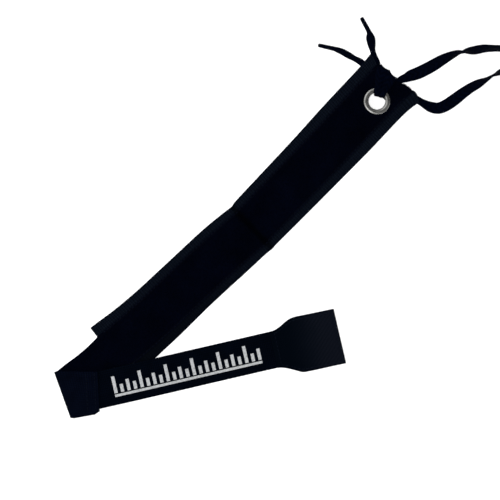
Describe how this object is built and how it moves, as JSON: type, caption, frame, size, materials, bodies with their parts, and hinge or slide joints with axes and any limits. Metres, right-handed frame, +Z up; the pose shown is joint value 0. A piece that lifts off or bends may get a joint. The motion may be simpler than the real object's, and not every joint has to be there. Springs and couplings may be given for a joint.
{
  "type": "boxing glove lace converter strap",
  "caption": "Webbing strap that closes a lace-up boxing glove with hook and loop: loop-faced panel with a laced metal eyelet, and an elastic band with a flared tab folded back.",
  "frame": {"origin": "middle of the webbing panel's underside, on the surface that the strap lies on", "axes": "+X along the panel towards the eyelet, +Z up, out of the loop pile, +Y across the panel"},
  "size_m": [0.5343, 0.2137, 0.0139],
  "materials": {
    "webbing": "matt woven webbing",
    "loop_pile": "matt brushed loop pile",
    "elastic": "ribbed woven elastic",
    "tab_cloth": "smooth coated cloth",
    "eyelet_metal": "satin plated",
    "lace": "flat woven lace",
    "lace_tip": "glossy film"
  },
  "bodies": {
    "root": {"base_panel": "webbing", "loop_tape": "loop_pile", "elastic_band": "elastic", "end_tab": "tab_cloth", "eyelet_front": "eyelet_metal", "eyelet_back": "eyelet_metal", "lace_loop": "lace", "lace_hitch_left": "lace", "lace_hitch_right": "lace", "lace_knot": "lace", "lace_end_upper": "lace", "lace_end_left": "lace", "aglet_upper": "lace_tip", "aglet_left": "lace_tip"}
  },
  "joints": []
}
